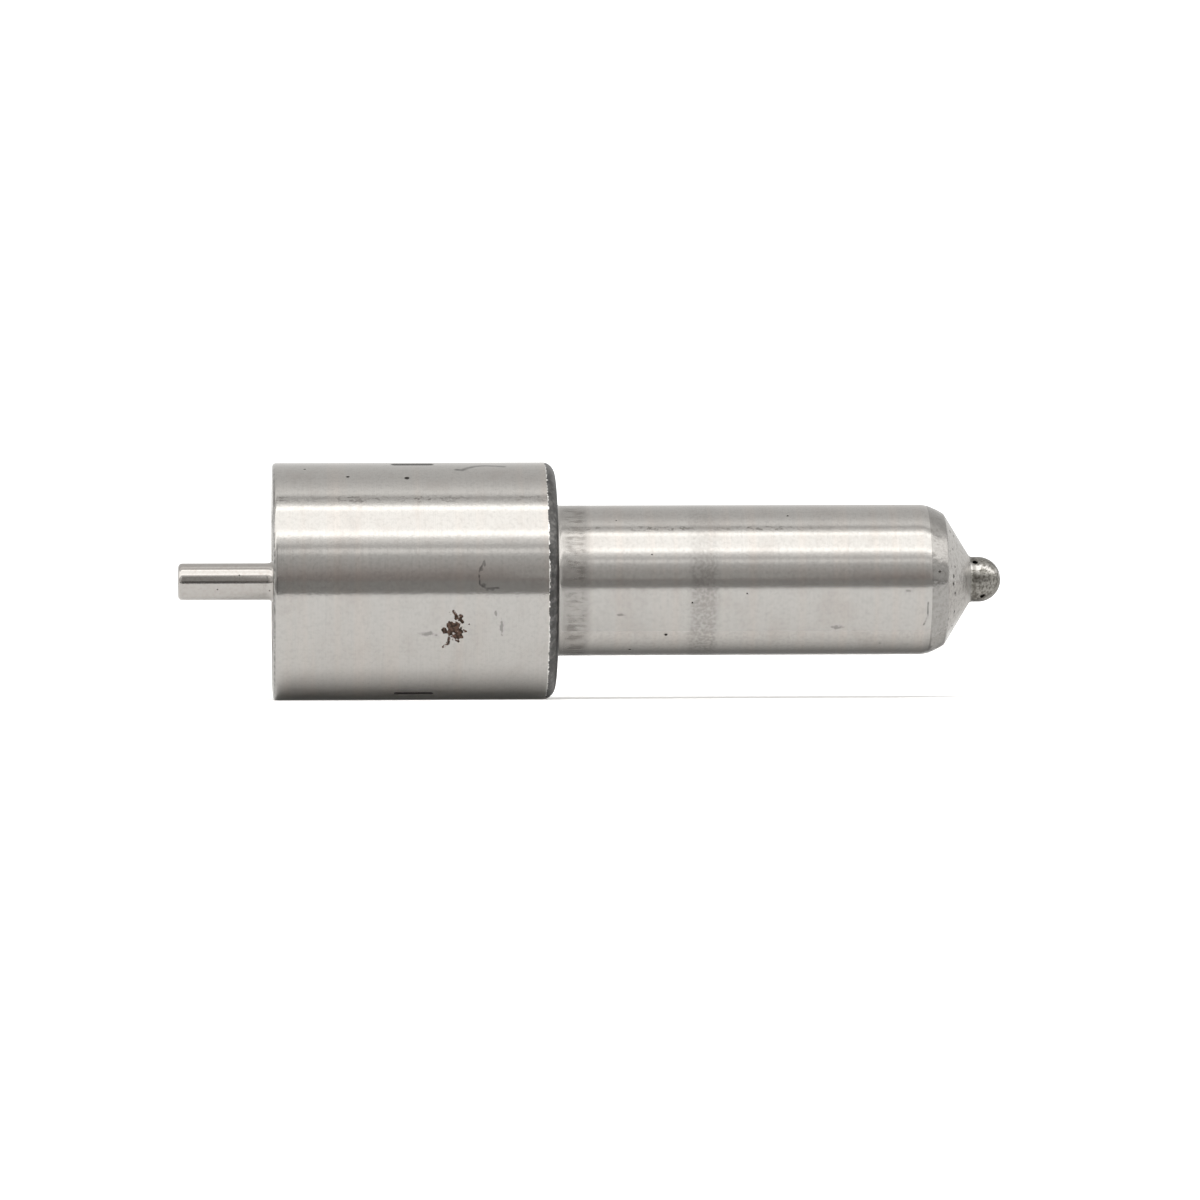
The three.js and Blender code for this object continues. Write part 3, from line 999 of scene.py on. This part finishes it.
def make_body(bore):
    """The body, with its fuel ways, dowel holes and spray holes cut out."""
    materials = {
        "ground": ground_steel(),
        "edge": unground_edge(),
        "nose": nose_steel(),
        "tip": spray_tip_steel(),
        "lapped": lapped_steel(),
        "bore": bore,
    }
    piece = turned("nozzle_body_fine", body_outline(), materials)
    cut(piece, feed_cutters() + dowel_cutters() + spray_cutters(), bore)
    piece.data.set_sharp_from_angle(angle=SHARP_ANGLE)
    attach(piece, "body")
    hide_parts("nozzle_body")


def make_needle(bore):
    """The needle, with its tail bright and the rest as dull as the bore."""
    piece = turned("nozzle_needle_fine", needle_outline(), {"ground": needle_steel(), "bore": bore})
    piece.data.set_sharp_from_angle(angle=SHARP_ANGLE)
    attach(piece, "needle")
    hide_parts("nozzle_needle")


# ---------------------------------------------------------------- stage, light and camera

FLOOR_SIZE = 6.0
FLOOR_WHITE = (0.92, 0.915, 0.905, 1)
WHITE = (1, 1, 1, 1)
BLACK = (0, 0, 0, 1)
GLOW_TINT = (1, 0.98, 0.95, 1)
# Cards that only reflections see: distance behind the axis, heights of the lower and upper edge from the
# axis, ends along the axis and level.
CARDS = {
    "card_front": (-42, -10, 0, -200, 200, 0.3),
    "card_back": (42, -10, 0, -80, 75, 0.5),
    "stem_card": (-41, 1.5, 8.5, 18.8, 44, 0.44),
    "cone_card": (8, -10, -0.6, 53.5, 110, 0.7),
    "needle_card_low": (-41, -10, 3, -14, -0.6, 0.13),
    "needle_card_high": (-41, 3, 27, -14, -0.6, 0.34),
}
# Cards lying on the floor, dimmer towards the back: ends along the axis, front and back of the fade, and
# level at each.
SHADE_CARDS = {
    "stem_shade": (20.6, 49.2, -4.4, 2.8, 0.91, 0.22),
    "nose_shade": (49.2, 54, -1, 9, 0.8, 0.3),
}
SHADE_MARGIN = 3
SHADE_LIFT = 0.02
CAMERA_DISTANCE = 540
CAMERA_PLACE = -5.5
AIM_PLACE = 23.5
AIM_DROP = 1.4
CAMERA_ROLL = math.radians(-0.195)
LENS = 226
SENSOR_WIDTH = 36
CLIP_START = 0.01

BRIGHTNESS = 1.25
BRIGHTEST = 4.0  # what the top of the surroundings' curve stands for
FILL_LEVEL = 0.5
SUN_STRENGTH = 3.2
SUN_SPREAD = math.radians(44)
SUN_DIRECTION = (0.1, 1, -1.2)
FLOOR_GLOW = 0.045
FLOOR_SEEN_GLOW = 0.3
# Towards the ends of the axis the room is plain grey, lighter behind. The grey begins further out high up,
# where the softbox is. Its limits are parts of a direction of length 1: outwards, up, and away.
END_BEGINS = (0.45, 0.86)
END_BEGINS_UP = (0.25, 0.5)
END_FADE = 0.2
END_AWAY = (-0.2, 0.4)
FRONT_END_LEVEL = 0.62
BACK_END_LEVEL = 0.8
SIDE_BOX_UP = math.radians(29)  # a softbox beyond each end of the axis, this high
SIDE_BOX_EDGE = (0.93, 0.965)
SIDE_BOX_LEVEL = 1.5
TINT_LEVELS = (0.3, 0.6)  # from the level of the dim tint to that of the bright one
DIM_TINT = (1, 0.91, 0.87, 1)
BRIGHT_TINT = (1, 0.99, 0.972, 1)

# What glossy surfaces see, by the angle up from the camera's side, over the top and down to the far side.
SURROUNDINGS = [
    (-180, 0.74), (-20, 0.6), (-10, 0.35), (-3, 0.27), (2, 0.29), (6, 0.34), (10, 0.41), (15, 0.49),
    (21, 0.56), (24, 0.58), (26.5, 0.76), (28.5, 1.14), (30.5, 1.08), (32.5, 0.62), (35, 0.65),
    (37, 0.92), (40, 1.02), (43, 1.14), (44.5, 2.1), (48.5, 2.1), (51, 1.63), (56, 1.63), (70, 1.6),
    (72, 1.6), (74, 2.2), (77, 2.2), (79, 1.3), (80.5, 0.95), (84, 0.82), (87, 0.6), (89, 0.5),
    (91.5, 0.82), (95, 1.02), (100, 0.91), (106, 0.78), (113, 0.69), (120, 0.65), (135, 0.64),
    (150, 0.66), (165, 0.72), (180, 0.74),
]


def world():
    """White to the camera, soft light for the floor, and a room with softboxes for reflections."""
    studio = bpy.data.worlds.new("studio")
    bpy.context.scene.world = studio
    studio.use_nodes = True
    tree = Tree(studio.node_tree)
    background = tree.tree.nodes["Background"]
    level = room_level(tree)
    tint = tree.smooth(level, *[limit * BRIGHTNESS for limit in TINT_LEVELS])
    tint = tree.mix(tint, DIM_TINT, BRIGHT_TINT)
    rays = tree.node("ShaderNodeLightPath")
    glossy = rays.outputs["Is Glossy Ray"]
    tree.feed(background.inputs["Color"], tree.mix(glossy, WHITE, tint))
    plain = tree.total(rays.outputs["Is Camera Ray"], FILL_LEVEL)
    plain = tree.product(tree.math("SUBTRACT", 1.0, glossy), plain)
    tree.feed(background.inputs["Strength"], tree.total(tree.product(glossy, level), plain))


def room_level(tree):
    """How bright the room is in each direction."""
    coordinates = tree.node("ShaderNodeTexCoord")
    split = tree.node("ShaderNodeSeparateXYZ", Vector=coordinates.outputs["Generated"])
    sideways, away, up = split.outputs
    outwards = tree.math("ABSOLUTE", sideways)
    begins = tree.smooth(up, *END_BEGINS_UP, *END_BEGINS)
    end = tree.smooth(outwards, begins, tree.total(begins, END_FADE))
    end_level = tree.smooth(away, *END_AWAY, FRONT_END_LEVEL * BRIGHTNESS, BACK_END_LEVEL * BRIGHTNESS)
    around = tree.product(level_around(tree, away, up), tree.math("SUBTRACT", 1.0, end))
    level = tree.total(around, tree.product(end, end_level))
    towards_box = tree.product(outwards, math.cos(SIDE_BOX_UP))
    towards_box = tree.math("MULTIPLY_ADD", up, math.sin(SIDE_BOX_UP), towards_box)
    return tree.most(level, tree.smooth(towards_box, *SIDE_BOX_EDGE, 0.0, SIDE_BOX_LEVEL * BRIGHTNESS))


def level_around(tree, away, up):
    """The brightness of the surroundings, by the angle round the axis."""
    angle = tree.math("DEGREES", tree.math("ARCTAN2", up, tree.product(away, -1)))
    curve = tree.node("ShaderNodeFloatCurve", Value=tree.math("MULTIPLY_ADD", angle, 1 / 360, 0.5))
    fill_curve(curve, [((degrees + 180) / 360, level / BRIGHTEST) for degrees, level in SURROUNDINGS])
    return tree.product(curve.outputs["Value"], BRIGHTEST * BRIGHTNESS)


def fill_curve(node, points):
    """Gives a curve node straight lines between these points."""
    curve = node.mapping.curves[0]
    curve.points[0].location = points[0]
    curve.points[1].location = points[-1]
    for spot in points[1:-1]:
        curve.points.new(*spot)
    for point in curve.points:
        point.handle_type = "VECTOR"
    node.mapping.update()


def plain_material(name, colour, emission=0.0, seen_glow=0.0):
    """A dull plain material that may glow, and glow more by seen_glow where the camera sees it directly."""
    material = bpy.data.materials.new(name)
    material.use_nodes = True
    bsdf = material.node_tree.nodes["Principled BSDF"]
    bsdf.inputs["Base Color"].default_value = colour
    bsdf.inputs["Roughness"].default_value = 0.9
    bsdf.inputs["Specular IOR Level"].default_value = 0.0
    bsdf.inputs["Emission Color"].default_value = GLOW_TINT
    bsdf.inputs["Emission Strength"].default_value = emission
    if seen_glow:
        tree = Tree(material.node_tree)
        rays = tree.node("ShaderNodeLightPath")
        glow = tree.math("MULTIPLY_ADD", rays.outputs["Is Camera Ray"], seen_glow, emission)
        tree.feed(bsdf.inputs["Emission Strength"], glow)
    return material


def level_corners(x_low, x_high, y_low, y_high, z):
    """The corners of a level rectangle."""
    return [(x_low, y_low, z), (x_high, y_low, z), (x_high, y_high, z), (x_low, y_high, z)]


def panel(name, corners, material):
    """A flat staging piece with four corners."""
    mesh = bpy.data.meshes.new(name)
    mesh.from_pydata(corners, [], [(0, 1, 2, 3)])
    mesh.materials.append(material)
    piece = added(name, mesh)
    return piece


def stage():
    """The floor, and the dim cards that only reflections see."""
    half = FLOOR_SIZE / 2
    floor_white = plain_material("floor_white", FLOOR_WHITE, FLOOR_GLOW, FLOOR_SEEN_GLOW)
    panel("floor", level_corners(-half, half, -half, half, FLOOR_Z), floor_white)
    for name, settings in CARDS.items():
        only_reflected(upright_card(name, *settings))
    for name, settings in SHADE_CARDS.items():
        only_reflected(shade_card(name, *settings))


def only_reflected(card):
    """Hides a card from everything but reflections."""
    card.visible_camera = False
    card.visible_diffuse = False
    card.visible_shadow = False


def upright_card(name, y, low, high, start, end, level):
    """A card that stands along the axis, on the floor or above it."""
    x_low, x_high = SEALING_FACE + start * MM, SEALING_FACE + end * MM
    z_low, z_high = max(low * MM, FLOOR_Z), high * MM
    y = y * MM
    corners = [(x_low, y, z_low), (x_high, y, z_low), (x_high, y, z_high), (x_low, y, z_high)]
    return panel(name, corners, plain_material(name, BLACK, level * BRIGHTNESS))


def shade_card(name, start, end, front, back, front_level, back_level):
    """A card lying on the floor, dimmer towards the back, as the floor is in shade."""
    material = plain_material(name, BLACK)
    tree = Tree(material.node_tree)
    coordinates = tree.node("ShaderNodeTexCoord")
    split = tree.node("ShaderNodeSeparateXYZ", Vector=coordinates.outputs["Object"])
    levels = front_level * BRIGHTNESS, back_level * BRIGHTNESS
    level = tree.smooth(split.outputs["Y"], front * MM, back * MM, *levels)
    tree.feed(tree.tree.nodes["Principled BSDF"].inputs["Emission Strength"], level)
    x = SEALING_FACE + start * MM, SEALING_FACE + end * MM
    y = front * MM, (back + SHADE_MARGIN) * MM
    z = FLOOR_Z + SHADE_LIFT * MM
    return panel(name, level_corners(*x, *y, z), material)


def lights():
    """A broad soft light from above the camera, which keeps the floor white right up to the object."""
    data = bpy.data.lights.new("key", "SUN")
    data.energy = SUN_STRENGTH
    data.angle = SUN_SPREAD
    light = added("key", data)
    light.rotation_euler = Vector(SUN_DIRECTION).to_track_quat("-Z", "Y").to_euler()
    light.visible_glossy = False


def camera():
    """Level with the axis but for a small drop, far away, and slightly to the left of the middle."""
    data = bpy.data.cameras.new("camera")
    data.lens = LENS
    data.sensor_width = SENSOR_WIDTH
    data.clip_start = CLIP_START
    view = added("camera", data)
    drop = -AIM_DROP * MM
    view.location = (SEALING_FACE + CAMERA_PLACE * MM, -CAMERA_DISTANCE * MM, drop)
    aim = Vector((SEALING_FACE + AIM_PLACE * MM, 0, drop))
    facing = (aim - view.location).to_track_quat("-Z", "Y").to_matrix()
    view.rotation_euler = (facing @ Matrix.Rotation(CAMERA_ROLL, 3, "Z")).to_euler()
    bpy.context.scene.camera = view


bore = bore_steel()
make_body(bore)
make_needle(bore)
stage()
lights()
world()
camera()
bpy.context.scene.view_settings.view_transform = "Standard"
